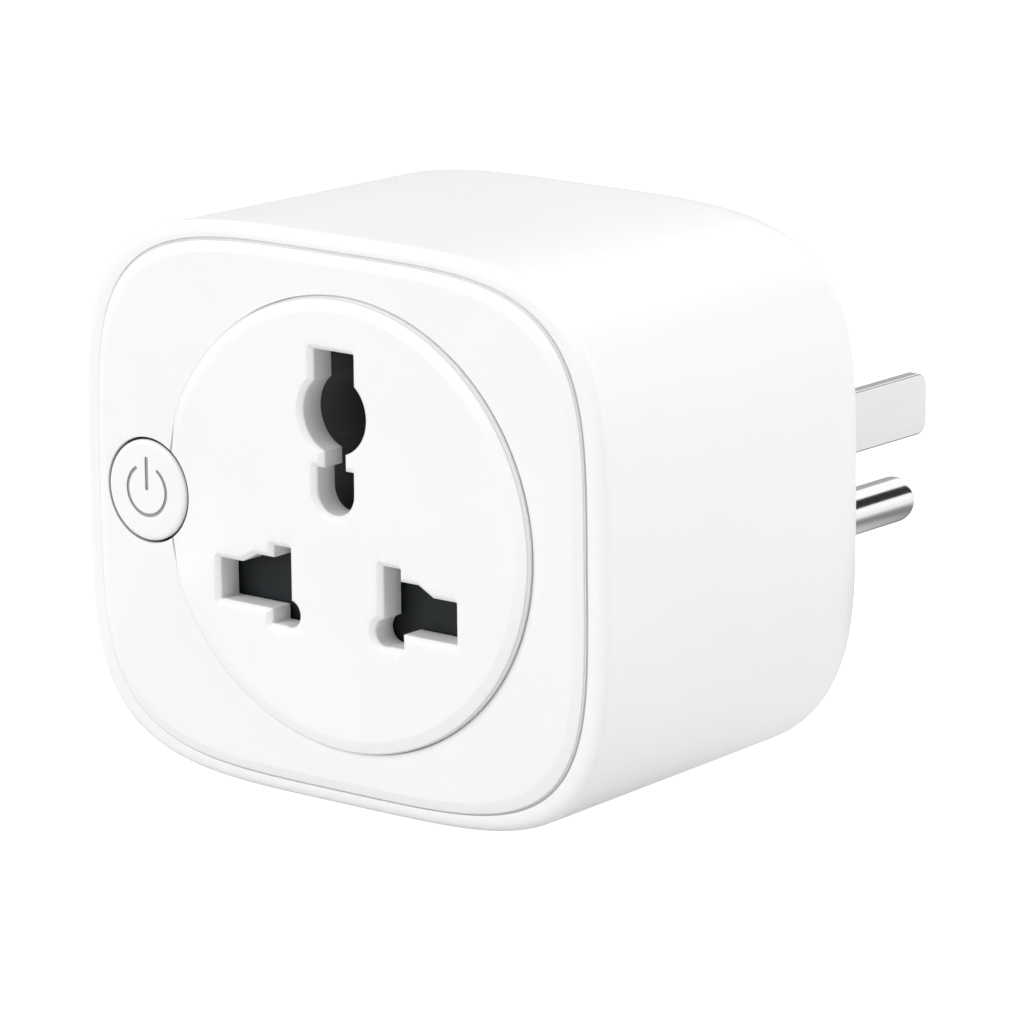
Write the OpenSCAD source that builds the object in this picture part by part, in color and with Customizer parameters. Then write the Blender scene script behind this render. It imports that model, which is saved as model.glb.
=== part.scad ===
// Smart plug: a white wall-plug body with a multi-standard socket on its face,
// a push button beside it and a three-pin plug (two flat blades, round earth)
// on its back, set towards one side.
// Frame: +Z up, the socket looks along -Y and the plug pins point along +Y.
// Origin: centre of the earth pin's root, on the flat back face.
// The modules are written from the middle of the front rim (x across, y into
// the body, z up) and place() moves them into the frame.

/* [Body] */
// Width of the body
body_w = 66.6; // [66:0.1:68]
// Height of the body
body_h = 56.8; // [56:0.1:58]
// Depth of the body from front rim to back face
body_d = 47.5; // [47:0.1:49]
// Squareness of the rounded outline (2 is an ellipse)
outline_n = 4.16; // [4:0.02:4.4]
// Radius of the soft edge round the back
back_round = 10.9; // [10:0.1:11.5]
// Radius of the edge of the front rim
front_round = 1.1; // [0.8:0.1:1.3]
// Thickness of the body wall at the sides
wall = 2.15; // [2:0.05:2.2]
// Thickness of the back wall
back_wall = 2.4; // [2.2:0.1:2.6]
// Width of the back compared with the front
back_taper = 0.982; // [0.98:0.001:0.99]

/* [Front] */
// Gap between the front panel and the body rim
panel_gap = 0.25; // [0.15:0.05:0.35]
// Radius of the round socket face
face_r = 22.85; // [22.6:0.05:22.95]
// Sideways offset of the round socket face
face_x = 1.5; // [1.4:0.05:1.6]
// Height offset of the round socket face
face_z = 0.1; // [0:0.05:0.2]
// Radius of the push button
button_r = 5.1; // [5:0.05:5.2]
// Sideways position of the push button
button_x = -24.1; // [-24.15:0.05:-23.9]
// Height of the push button
button_z = 0.1; // [0:0.1:0.3]
// Travel of the push button
button_travel = 0.5; // [0.3:0.1:0.5]

/* [Plug] */
// Sideways position of the plug's centre line
plug_x = 17.2; // [17:0.1:17.4]
// Height of the earth pin
earth_z = -7.9; // [-8:0.1:-7.8]
// Height of the blades above the earth pin
blade_up = 11.9; // [11.9:0.1:11.9]
// Half the distance between the blades
blade_half = 6.35; // [6.35:0.05:6.35]
// Height of a blade
blade_w = 6.35; // [6.3:0.05:6.4]
// Thickness of a blade
blade_t = 1.5; // [1.4:0.05:1.5]
// Length of a blade outside the body
blade_l = 16.1; // [16:0.1:18.2]
// Radius of the earth pin
earth_r = 2.4; // [2.3:0.05:2.4]
// Length of the earth pin outside the body
earth_l = 22.0; // [20:0.1:22]

/* [Shutter] */
// Thickness of the shutter plate
shutter_t = 1.5; // [1.3:0.1:1.5]
// Number of turns in a shutter spring
spring_turns = 8; // [6:1:9]

/* [Hidden] */
$fn = 64;
K = 72;
panel_n = 4.1;
pa = body_w/2 - wall;
pb = body_h/2 - wall + 0.63;
blade_z = earth_z + blade_up;
post_x = 24.5;
post_z = 17;
panel_front = -0.65;
face_front = -1.6;
open_x = 1.0;
open_z = 0.3;
face_back = 1.55;
sh0 = 1.75;
board_y = 26.4;
board_t = 1.6;
board_posts = [-24.8, 25.2];
spring_x = 12.2;
shutter_top = -2.6;
spring_end = 16.0;

// ---- helpers ----
function se(a, b, n) = [for (i = [0:K-1])
    let(t = 360*i/K, c = cos(t), s = sin(t),
        r = pow(pow(abs(c), n) + pow(abs(s), n), -1/n)) [a*c*r, b*s*r]];
module se2(a, b, n) polygon(se(a, b, n));
module place() translate([-plug_x, -body_d, -earth_z]) children();
// the socket's insides are drawn from the middle of the openings
module sock() translate([open_x, 0, open_z]) children();
module slab(y0, y1) translate([0, y1, 0]) rotate([90, 0, 0])
    linear_extrude(height = y1 - y0) children();
module rod(r, y0, y1, x = 0, z = 0) translate([x, y0, z])
    rotate([-90, 0, 0]) cylinder(r = r, h = y1 - y0);
module blk(x0, x1, y0, y1, z0, z1) translate([x0, y0, z0])
    cube([x1 - x0, y1 - y0, z1 - z0]);
module rect(x0, x1, z0, z1) translate([x0, z0]) square([x1 - x0, z1 - z0]);
module rrect(x0, x1, z0, z1, r) {
    rect(x0 + r, x1 - r, z0, z1);
    rect(x0, x1, z0 + r, z1 - r);
    for (x = [x0 + r, x1 - r], z = [z0 + r, z1 - r]) translate([x, z]) circle(r = r);
}
// rings: list of [half width, half height, power, y], front to back
module loft(rings) {
    m = len(rings);
    pts = [for (q = rings) for (p = se(q[0], q[1], q[2])) [p[0], q[3], p[1]]];
    sides = [for (j = [0:m-2]) for (i = [0:K-1])
        let(a = j*K + i, b = j*K + (i+1)%K, c = (j+1)*K + (i+1)%K, d = (j+1)*K + i)
        each [[a, b, c], [a, c, d]]];
    polyhedron(points = pts, faces = concat(sides,
        [[for (i = [0:K-1]) K-1-i], [for (i = [0:K-1]) (m-1)*K + i]]));
}

module body_solid() {
    a = body_w/2; b = body_h/2; f = front_round; r = back_round;
    loft(concat(
        [for (t = [90, 60, 30, 0]) [a - f*(1-cos(t)), b - f*(1-cos(t)), outline_n, f*(1-sin(t))]],
        [for (t = [0, 13, 26, 39, 52, 65, 78, 90])
            [a*back_taper - r*(1-cos(t)), b*back_taper - r*(1-cos(t)), outline_n, body_d - r*(1-sin(t))]]));
}
module cavity_solid() {
    r = back_round - wall; y1 = body_d - back_wall;
    loft(concat([[pa, pb, panel_n, -1], [pa, pb, panel_n, 2.2]],
        [for (t = [0, 20, 40, 60, 75, 90])
            [(body_w/2*back_taper - wall) - r*(1-cos(t)), (body_h/2*back_taper - wall) - r*(1-cos(t)),
             outline_n, y1 - r*(1-sin(t))]]));
}
module posts() for (x = [-post_x, post_x], z = [-post_z, post_z]) translate([x, 0, z]) children();

// ---- socket openings, in x and z ----
module earth_opening() {
    rect(-2.55, 2.55, 11, 17.15);
    translate([0, 10.9]) circle(r = 4.0);
    rect(-1.35, 1.35, 5, 8);
    rect(-2.35, 2.35, 3.25, 5.5);
    translate([0, 3.25]) circle(r = 2.35);
}
module pole_opening() {
    rect(8.0, 15.1, -9.6, -5.4);
    rect(5.9, 8.1, -10.6, -3.15);
    polygon([[8, -4.4], [10.3, -4.4], [12.2, -5.4], [12.2, -6], [8, -6]]);
    translate([6.2, -9.8]) circle(r = 1.4);
    rect(6.2, 8.4, -11.1, -9);
}

// ---- casing ----
module main_housing() color("whitesmoke") place() difference() {
    body_solid();
    difference() {
        cavity_solid();
        posts() rod(4.4, 14.5, 50);
        rod(2.4, board_y + board_t, 50, board_posts[0], 0);
        blk(board_posts[1] - 2.2, 40, board_y + board_t, 37.5, -2.2, 2.2);
    }
    posts() { rod(1.7, 14, 17); rod(3.0, 16.5, 50); }
    for (x = board_posts) rod(1.0, board_y, 36, x, 0);
    slab(38, 50) rrect(plug_x - 8.9, plug_x + 8.9, earth_z - 4.6, earth_z + 17.2, 4.1);
}
module front_panel() color("whitesmoke") place() difference() {
    union() {
        loft([for (q = [[1.2, 0], [0.12, 0.34], [0.03, 0.4], [0, 0.48], [0, 2.2 - panel_front]])
            [pa - panel_gap - q[0], pb - panel_gap - q[0], panel_n, q[1] + panel_front]]);
        slab(1.6, 7) difference() { se2(pa - 1.4, pb - 1.4, panel_n); se2(pa - 2.8, pb - 2.8, panel_n); }
        posts() rod(3.2, 1.6, 14.4);
        for (z = [-10.5, 10.5]) rod(2.2, 1.6, 7.5, -26.5, z);
    }
    rod(face_r + 0.3, -2, 1.8, face_x, face_z);
    rod(face_r + 1.1, 1.7, 3.3, face_x, face_z);
    rod(button_r + 0.2, -2, 1.8, button_x, button_z);
    blk(-32, -20, 1.7, 9, -8.2, 8.2);
    posts() rod(1.5, 4.5, 20);
    for (z = [-10.5, 10.5]) rod(0.95, 3, 9, -26.5, z);
}
module socket_face() color("white") place() difference() {
    union() {
        translate([face_x, 0, face_z]) rotate([-90, 0, 0]) rotate_extrude($fn = 96)
            polygon([[0, face_front], [face_r - 1.3, face_front], [face_r - 0.08, -1.34], [face_r, -1.27],
                [face_r, 1.8], [face_r + 0.9, 1.8], [face_r + 0.9, 3.0], [21.5, 3.0], [21.5, face_back], [0, face_back]]);
        sock() {
            rod(2.6, 1.4, 6, 0, -17.4);
            for (x = [-17.8, 17.8]) { rod(2.6, 2.2, 6, x, 10.5); rod(1.5, 1.4, 2.3, x, 10.5); }
        }
    }
    // the face falls away to the button
    translate([button_x, 0, button_z]) rotate([-90, 0, 0]) rotate_extrude($fn = 96)
        polygon([[0, -3], [12, -3], [12, -1.66], [11.2, -1.6], [5.7, -0.72], [0, -0.72]]);
    sock() {
        slab(-2, 3) earth_opening();
        slab(-2, 3) pole_opening();
        slab(-2, 3) mirror([1, 0]) pole_opening();
        rod(0.95, 3, 7, 0, -17.4);
        for (x = [-17.8, 17.8]) rod(0.95, 3, 7, x, 10.5);
    }
    rod(button_r + 0.2, -2, 1.85, button_x, button_z);
    rod(6.4, 1.7, 4, button_x, button_z);
}
module power_button() color("white") place() difference() {
    union() {
        translate([button_x, 0, button_z]) rotate([-90, 0, 0]) rotate_extrude($fn = 72)
            polygon([[0, -0.85], [4.6, -0.85], [4.95, -0.74], [button_r, -0.5], [button_r, 1.95],
                [5.85, 1.95], [5.85, 2.75], [1.7, 2.75], [1.7, 3.2], [0, 3.2]]);
    }
    // power symbol: an open ring with a bar
    translate([button_x, -0.7, button_z]) rotate([90, 0, 0]) linear_extrude(height = 1) {
        difference() {
            circle(r = 2.68, $fn = 48);
            circle(r = 2.38, $fn = 48);
            polygon([[0, 0], [-4, 5.7], [4, 5.7]]);
        }
        translate([-0.18, 0]) square([0.36, 3.4]);
    }
}

// ---- switch ----
module tact_switch() color("dimgray") place() difference() {
    blk(button_x - 3, button_x + 3, 4.0, 7.5, button_z - 3, button_z + 3);
    rod(1.8, 3.5, 5.1 + button_travel, button_x, button_z);
}
module switch_plunger() color("black") place() rod(1.7, 3.3, 4.95, button_x, button_z);
module switch_board() color("seagreen") place() difference() {
    blk(-29.3, -20.8, 7.5, 8.7, -12.6, 12.6);
    for (z = [-10.5, 10.5]) rod(1.1, 7, 9, -26.5, z);
}
module status_led() color("lightblue") place() union() {
    blk(-24.75, -23.15, 6.7, 7.5, 4.2, 5.8);
    rod(0.6, 6.4, 6.8, -23.95, 5.0);
}

// ---- socket insides ----
module shutter() color("#23272b") place() sock() difference() {
    slab(sh0, sh0 + shutter_t) {
        for (m = [0, 1]) mirror([m, 0]) rect(4.4, 15.9, -12.0, shutter_top);
        rect(-5.5, 5.5, -11.6, -9.6);
    }
    // lead-in ramps that the pins push on
    for (m = [0, 1]) mirror([m, 0, 0]) translate([9.2, sh0 - 0.01, -7.4]) rotate([90, 0, 90])
        linear_extrude(height = 5.2) polygon([[0, 0], [1.0, 0], [0, 1.8]]);
}
// close-wound wire swept along a helix, z from z0 to z1
module coil(x, y, z0, z1, R, w, turns) {
    q = 6; steps = 10; N = turns*steps;
    pts = [for (i = [0:N]) let(a = 360*i/steps, z = z0 + (z1 - z0)*i/N)
        for (j = [0:q-1]) let(b = 360*j/q)
            [x + (R + w*cos(b))*cos(a), y + (R + w*cos(b))*sin(a), z + w*sin(b)]];
    sides = [for (i = [0:N-1]) for (j = [0:q-1])
        let(a = i*q + j, b = i*q + (j+1)%q, c = (i+1)*q + (j+1)%q, d = (i+1)*q + j)
        each [[a, b, c], [a, c, d]]];
    polyhedron(points = pts, faces = concat(sides,
        [[for (j = [0:q-1]) q-1-j], [for (j = [0:q-1]) N*q + j]]));
}
module shutter_spring_left() color("silver") place() sock()
    coil(-spring_x, 2.67, shutter_top + 0.2, spring_end - 0.2, 0.72, 0.16, spring_turns);
module shutter_spring_right() color("silver") place() sock()
    coil(spring_x, 2.67, shutter_top + 0.2, spring_end - 0.2, 0.72, 0.16, spring_turns);
module carrier_outline(r) intersection() {
    union() { rect(-17.4, 17.4, -13.4, 7.6); rect(-14.6, 14.6, 7, 19.4); }
    translate([face_x - open_x, face_z - open_z]) circle(r = r);
}
module contact_carrier() color("#202428") place() sock() difference() {
    union() {
        slab(1.65, 16) carrier_outline(21.3);
        blk(-3.4, 3.4, 6, 9, -20.4, -13);
        for (m = [0, 1]) mirror([m, 0, 0]) blk(14, 20.6, 6, 9, 7.6, 13.4);
    }
    // shutter pocket round a centre island
    slab(1.3, 3.45) difference() { rect(-16.2, 16.2, -12.3, 6.7); rect(-4.0, 4.0, -0.1, 7); }
    for (m = [0, 1]) mirror([m, 0, 0]) {
        blk(spring_x - 1.15, spring_x + 1.15, 1.3, 3.85, shutter_top, spring_end);
        blk(4.9, 15.6, 3.25, 17, -11.8, -2.9);
        rod(1.1, 5, 10, 17.8, 10.5);
    }
    slab(1.3, 17) { rect(-3.2, 3.2, 8.3, 17.9); translate([0, 10.9]) circle(r = 4.4); rect(-2.9, 2.9, 0.5, 8); }
    rod(1.1, 5, 10, 0, -17.4);
}
module carrier_cover() color("#2b3034") place() sock() difference() {
    slab(16.05, 17.6) carrier_outline(20.6);
    for (m = [0, 1]) mirror([m, 0, 0]) blk(9.8, 13.2, 15, 19, -10.5, -9.7);
    blk(-1.7, 1.7, 15, 19, 11.9, 12.7);
}
module pole_contact() {
    blk(5.3, 15.0, 14.9, 15.5, -10.4, -4.6);
    blk(9.0, 14.8, 9.5, 15, -5.1, -4.6);
    blk(9.0, 14.8, 9.5, 15, -10.4, -9.9);
    blk(5.3, 5.7, 9.5, 15, -10.0, -4.9);
    blk(8.3, 8.7, 9.5, 15, -10.0, -4.9);
    blk(10, 13, 15.3, board_y + board_t + 1, -10.4, -9.8);
}
module live_contact() color("goldenrod") place() sock() union() { pole_contact(); }
module neutral_contact() color("goldenrod") place() sock() mirror([1, 0, 0]) union() { pole_contact(); }
module earth_contact() color("goldenrod") place() sock() union() {
    blk(-2.8, 2.8, 14.9, 15.5, 0.9, 17.4);
    for (m = [0, 1]) mirror([m, 0, 0]) {
        blk(2.35, 2.8, 9.5, 15, 9.2, 17.2);
        blk(2.05, 2.5, 9.5, 15, 1.4, 5.8);
    }
    blk(-1.5, 1.5, 15.3, 21.5, 12.0, 12.6);
}

// ---- plug ----
module pin_holder() color("white") place() difference() {
    union() {
        slab(38.5, body_d) rrect(plug_x - 8.8, plug_x + 8.8, earth_z - 4.5, earth_z + 17.1, 4);
        slab(41.5, 44.9) rrect(plug_x - 10.2, plug_x + 3.2, earth_z - 5.6, earth_z + 18.3, 3);
    }
    for (x = [plug_x - blade_half, plug_x + blade_half])
        blk(x - blade_t/2 - 0.04, x + blade_t/2 + 0.04, 30, 50, blade_z - blade_w/2 - 0.04, blade_z + blade_w/2 + 0.04);
    rod(2.03, 30, 50, plug_x, earth_z);
}
module blade(x) {
    r = 1.4; y0 = 38; y1 = body_d + blade_l;
    translate([x - blade_t/2, 0, blade_z]) rotate([90, 0, 90]) linear_extrude(height = blade_t) {
        translate([y0, -blade_w/2]) square([y1 - y0 - r, blade_w]);
        translate([y1 - r - 0.01, -blade_w/2 + r]) square([r + 0.01, blade_w - 2*r]);
        for (s = [-1, 1]) translate([y1 - r, s*(blade_w/2 - r)]) circle(r = r, $fn = 32);
    }
    blk(x - 0.5, x + 0.5, board_y - 0.8, 38.2, blade_z - 1.1, blade_z + 1.4);
}
module live_blade() color("lightgray") place() blade(plug_x + blade_half);
module neutral_blade() color("lightgray") place() blade(plug_x - blade_half);
module earth_pin() color("silver") place() union() {
    e = 2.2;
    translate([plug_x, 0, earth_z]) rotate([-90, 0, 0]) rotate_extrude($fn = 64) union() {
        translate([0, 33]) square([1.2, 5]);
        translate([0, 38]) square([2.0, body_d - 38 + 0.01]);
        translate([0, body_d]) square([earth_r, earth_l - e]);
        translate([0, body_d + earth_l - e - 0.01]) square([earth_r - e, e + 0.01]);
        intersection() {
            translate([earth_r - e, body_d + earth_l - e]) circle(r = e, $fn = 48);
            translate([earth_r - e, body_d + earth_l - e]) square([e + 1, e + 1]);
        }
    }
}
module earth_strap() color("goldenrod") place() difference() {
    union() {
        blk(plug_x - 1.7, plug_x + 1.7, 33.6, 34.2, earth_z - 2, 15);
        blk(open_x - 1.5, plug_x + 1.7, 33.6, 34.2, 12, 15);
        sock() blk(-1.5, 1.5, 18.5, 34.2, 12.6, 13.2);
    }
    rod(1.25, 33, 35, plug_x, earth_z);
}

// ---- electronics ----
module main_board() color("seagreen") place() difference() {
    slab(board_y, board_y + board_t) { rect(-19.4, 19.4, -22, 22); rect(-27.6, 27.6, -12, 12); }
    for (x = board_posts) rod(1.1, 26, 29, x, 0);
    sock() {
        blk(-1.7, 1.7, 26, 29, 12.4, 13.4);
        for (m = [0, 1]) mirror([m, 0, 0]) blk(9.9, 13.1, 26, 29, -10.5, -9.7);
    }
    for (x = [plug_x - blade_half, plug_x + blade_half]) blk(x - 0.6, x + 0.6, 26, 29, blade_z - 1.5, blade_z + 1.5);
}
module relay_base() color("#2d4f8a") place() blk(-21, -2, 28, 29.4, -9, 6.5);
module relay_cover() color("#2d4f8a") place() difference() {
    blk(-21, -2, 29.4, 43.5, -9, 6.5);
    blk(-20.2, -2.8, 29, 42.7, -8.2, 5.7);
}
module relay_coil() color("peru") place() union() {
    rod(4.6, 30, 38.6, -12.2, -1.25);
    for (y = [29.4, 38.4]) rod(5.2, y, y + 0.8, -12.2, -1.25);
    rod(1.6, 39, 40.0, -12.2, -1.25);
}
module relay_yoke() color("silver") place() blk(-19.6, -18.8, 29.4, 40.6, -5.2, 2.7);
module relay_armature() color("gainsboro") place() union() {
    blk(-19.2, -5.0, 41.0, 41.8, -4.2, 1.7);
    // rolled edge that it swings on
    translate([-19.2, 41.4, -4.2]) cylinder(r = 0.4, h = 5.9);
    rod(0.8, 40.6, 41.2, -5.9, -1.25);
}
module relay_contact() color("goldenrod") place() union() {
    blk(-6.7, -5.1, 29.4, 38.8, -2.0, -0.5);
    rod(0.8, 38.7, 39.4, -5.9, -1.25);
}
module wireless_module() color("lightslategray") place() union() {
    blk(-20.5, -4.5, 25.6, board_y, -9, -6 + 14);
    blk(-19.5, -8.5, 22.8, 25.6, -8, 7);
}
module transformer() color("darkkhaki") place() union() {
    blk(-12.4, -2.6, 28, 38, 12.4, 17.4);
    blk(-10.8, -4.2, 28.8, 37, 10.2, 19.8);
}
module bulk_capacitor() color("#2a2f45") place() rod(3.1, 28, 40.5, -17.0, 12.2);
module filter_capacitor() color("gold") place() blk(-19.4, -4.5, 28, 39, -19, -11.5);
module varistor() color("steelblue") place() translate([4, 32.4, -18.4]) cylinder(r = 4.2, h = 3.6);
module fuse() color("tan") place() translate([9, 30.8, -16.6]) rotate([0, 90, 0]) cylinder(r = 2.6, h = 10);
module link_wires() color("crimson") place()
    for (i = [0:4]) rod(0.45, 8.7, board_y, -22.5, -9.5 + 1.6*i);

// ---- fasteners ----
module screw(x, z, y_head, y_seat, y_tip, rh, rs) difference() {
    union() { rod(rh, min(y_head, y_seat), max(y_head, y_seat), x, z);
        rod(rs, min(y_tip, y_seat), max(y_tip, y_seat), x, z); }
    rod(rh*0.42, y_head > y_seat ? y_head - 0.9 : y_head - 1, y_head > y_seat ? y_head + 1 : y_head + 0.9, x, z, $fn = 6);
}
module housing_screws() color("silver") place()
    for (x = [-post_x, post_x], z = [-post_z, post_z]) screw(x, z, 18.6, 16.5, 5.5, 2.7, 1.45);
module carrier_screws() color("silver") place() {
    sock() screw(0, -17.4, 10.6, 9, 3.6, 2.1, 0.9);
    sock() for (x = [-17.8, 17.8]) screw(x, 10.5, 10.6, 9, 3.6, 2.1, 0.9);
}
module board_screws() color("silver") place()
    for (x = board_posts) screw(x, 0, 25.0, board_y, 34, 2.1, 0.95);
module switch_board_screws() color("silver") place()
    for (z = [-10.5, 10.5]) screw(-26.5, z, 10.1, 8.7, 3.4, 1.9, 0.9);

main_housing();
front_panel();
socket_face();
power_button();
tact_switch();
switch_plunger();
switch_board();
status_led();
shutter();
shutter_spring_left();
shutter_spring_right();
contact_carrier();
carrier_cover();
live_contact();
neutral_contact();
earth_contact();
pin_holder();
live_blade();
neutral_blade();
earth_pin();
earth_strap();
main_board();
relay_base();
relay_cover();
relay_coil();
relay_yoke();
relay_armature();
relay_contact();
wireless_module();
transformer();
bulk_capacitor();
filter_capacitor();
varistor();
fuse();
link_wires();
housing_screws();
carrier_screws();
board_screws();
switch_board_screws();
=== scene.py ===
import math
import bpy
import bmesh
import numpy as np
from mathutils import Matrix, Vector
from mathutils.geometry import delaunay_2d_cdt


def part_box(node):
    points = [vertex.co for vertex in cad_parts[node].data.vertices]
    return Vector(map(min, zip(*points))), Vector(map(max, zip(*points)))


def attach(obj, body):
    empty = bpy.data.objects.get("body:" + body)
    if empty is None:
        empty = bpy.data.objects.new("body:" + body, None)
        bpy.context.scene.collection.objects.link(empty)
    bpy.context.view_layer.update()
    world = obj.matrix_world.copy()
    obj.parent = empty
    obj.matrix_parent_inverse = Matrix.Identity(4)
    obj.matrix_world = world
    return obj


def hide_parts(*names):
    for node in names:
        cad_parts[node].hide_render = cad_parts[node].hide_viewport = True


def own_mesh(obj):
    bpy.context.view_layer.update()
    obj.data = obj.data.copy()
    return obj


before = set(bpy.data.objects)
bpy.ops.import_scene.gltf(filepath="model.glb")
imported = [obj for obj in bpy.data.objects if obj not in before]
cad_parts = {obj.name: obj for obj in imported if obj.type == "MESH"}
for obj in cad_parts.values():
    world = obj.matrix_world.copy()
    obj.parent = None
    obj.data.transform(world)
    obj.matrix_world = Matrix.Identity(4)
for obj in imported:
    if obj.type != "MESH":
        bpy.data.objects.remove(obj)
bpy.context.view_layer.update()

scene = bpy.context.scene
MM = 0.001

# Shapes are drawn in mm from the middle of the front rim (x across, y into
# the body, z up), and O moves them to where the CAD model has that point.
h_lo, h_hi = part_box("main_housing")
O = Vector(((h_lo.x + h_hi.x) / 2, h_lo.y, (h_lo.z + h_hi.z) / 2))
A, B, D = [1000 * v for v in ((h_hi.x - h_lo.x) / 2, (h_hi.z - h_lo.z) / 2, h_hi.y - h_lo.y)]
WALL, FRONT_R, BACK_R, TAPER, NEXP = 2.15, 1.1, 10.9, 0.982, 4.16
PA, PB, PN = A - WALL, B - WALL + 0.63, 4.1
FX, FZ, FR = 1.5, 0.1, 22.85           # round socket face
BX, BZ, BR = -24.1, 0.1, 5.1           # push button
PF, DF, KF = -0.65, -1.6, -0.85        # levels of the panel, the round face and the button
GAP, RING = 0.17, 0.25                 # seam between panel and body, gap round the button
OX, OZ = 1.0, 0.3                      # middle of the openings
PX, EZ = -1000 * O.x, -1000 * O.z      # plug centre line, earth pin height
POSTS = [(x, z) for x in (-24.5, 24.5) for z in (-17.0, 17.0)]


def xyz(x, y, z):
    return (O.x + x * MM, O.y + y * MM, O.z + z * MM)


# ---------------------------------------------------------------- outlines
def rad2(c, r, a):
    return np.array((c[0] + r * math.cos(a), c[1] + r * math.sin(a)))


def p_start(p):
    return p[1] if p[0] == "L" else rad2(p[1], p[2], p[3])


def p_end(p):
    return p[2] if p[0] == "L" else rad2(p[1], p[2], p[4])


def p_tan(p, end):
    if p[0] == "L":
        t = p[2] - p[1]
    else:
        a = p[4] if end else p[3]
        s = 1 if p[4] > p[3] else -1
        t = np.array((-math.sin(a) * s, math.cos(a) * s))
    return t / np.linalg.norm(t)


def outline(items):
    """items, anticlockwise: (x, z), (x, z, corner radius) or ("arc", cx, cz, r, start, end in degrees)."""
    n = len(items)

    def point(i, end):
        it = items[i % n]
        if isinstance(it[0], str):
            return rad2(it[1:3], it[3], math.radians(it[5] if end else it[4]))
        return np.array(it[:2], float)

    parts = []
    for i, it in enumerate(items):
        if isinstance(it[0], str):
            parts.append(("A", np.array(it[1:3], float), it[3], math.radians(it[4]), math.radians(it[5])))
        elif len(it) > 2 and it[2] > 0:
            p = point(i, False)
            a, b = point(i - 1, True) - p, point(i + 1, False) - p
            a, b = a / np.linalg.norm(a), b / np.linalg.norm(b)
            half = math.acos(max(-1, min(1, float(a @ b)))) / 2
            s, e = p + a * it[2] / math.tan(half), p + b * it[2] / math.tan(half)
            m = (a + b) / np.linalg.norm(a + b)
            c = p + m * it[2] / math.sin(half)
            a0 = math.atan2(*(s - c)[::-1])
            a1 = math.atan2(*(e - c)[::-1])
            a1 += 2 * math.pi * round((a0 - a1) / (2 * math.pi))
            parts.append(("A", c, it[2], a0, a1))
        else:
            parts.append(("V", point(i, False)))
    prims = []
    for i, p in enumerate(parts):
        if p[0] == "A":
            prims.append(p)
        q = parts[(i + 1) % n]
        s = p[1] if p[0] == "V" else p_end(p)
        e = q[1] if q[0] == "V" else p_start(q)
        if np.linalg.norm(e - s) > 1e-6:
            prims.append(("L", s, e))
    return prims


def meet(a, b, off, p, ta, tb):
    na, nb = np.array((ta[1], -ta[0])), np.array((tb[1], -tb[0]))
    if abs(ta[0] * tb[1] - ta[1] * tb[0]) < 0.02:
        return p + off * nb
    if a[0] == "L" and b[0] == "L":
        return p + off * (na + nb) / (1 + na @ nb)
    def circle(q):
        return q[1], q[2] + off * (1 if q[4] > q[3] else -1)
    if a[0] == "A" and b[0] == "A":
        (c0, r0), (c1, r1) = circle(a), circle(b)
        d = np.linalg.norm(c1 - c0)
        u = (c1 - c0) / d
        x = (d * d + r0 * r0 - r1 * r1) / (2 * d)
        y = math.sqrt(max(0, r0 * r0 - x * x))
        w = np.array((-u[1], u[0]))
        sols = [c0 + x * u + y * w, c0 + x * u - y * w]
    else:
        ln, t, n = (a, ta, na) if a[0] == "L" else (b, tb, nb)
        c, r = circle(b if a[0] == "L" else a)
        q = p + off * n
        bb, cc = (q - c) @ t, (q - c) @ (q - c) - r * r
        s = math.sqrt(max(0, bb * bb - cc))
        sols = [q + (-bb + s) * t, q + (-bb - s) * t]
    return min(sols, key=lambda v: np.linalg.norm(v - p))


def sample(prims, off=0.0, step=0.3, turn=5.0):
    """Points of the outline moved outwards by off. The count never depends on off."""
    n = len(prims)
    J = []
    for i in range(n):
        a, b = prims[i - 1], prims[i]
        J.append(meet(a, b, off, p_start(b), p_tan(a, True), p_tan(b, False)))
    out = []
    for i, p in enumerate(prims):
        s, e = J[i], J[(i + 1) % n]
        if p[0] == "L":
            k = max(1, math.ceil(np.linalg.norm(p[2] - p[1]) / step))
            out += [s + (e - s) * j / k for j in range(k)]
        else:
            c = p[1]
            r = p[2] + off * (1 if p[4] > p[3] else -1)
            k = max(3, math.ceil(abs(math.degrees(p[4] - p[3])) / turn), math.ceil(abs(p[4] - p[3]) * p[2] / step))
            a0, a1 = math.atan2(*(s - c)[::-1]), math.atan2(*(e - c)[::-1])
            a0 += 2 * math.pi * round((p[3] - a0) / (2 * math.pi))
            a1 += 2 * math.pi * round((p[4] - a1) / (2 * math.pi))
            out += [rad2(c, r, a0 + (a1 - a0) * j / k) for j in range(k)]
    return np.array(out)


def circle_line(cx, cz, r):
    return outline([("arc", cx, cz, r, 0, 180), ("arc", cx, cz, r, 180, 360)])


def rounded_rect(x0, x1, z0, z1, r):
    return outline([(x0, z0, r), (x1, z0, r), (x1, z1, r), (x0, z1, r)])


def mirrored(items):
    out = []
    for it in reversed(items):
        if isinstance(it[0], str):
            out.append(("arc", -it[1], it[2], it[3], 180 - it[5], 180 - it[4]))
        else:
            out.append((-it[0],) + tuple(it[1:]))
    return out


def shifted(items, dx, dz):
    return [(it[0], it[1] + dx, it[2] + dz) + tuple(it[3:]) if isinstance(it[0], str)
            else (it[0] + dx, it[1] + dz) + tuple(it[2:]) for it in items]


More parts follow.
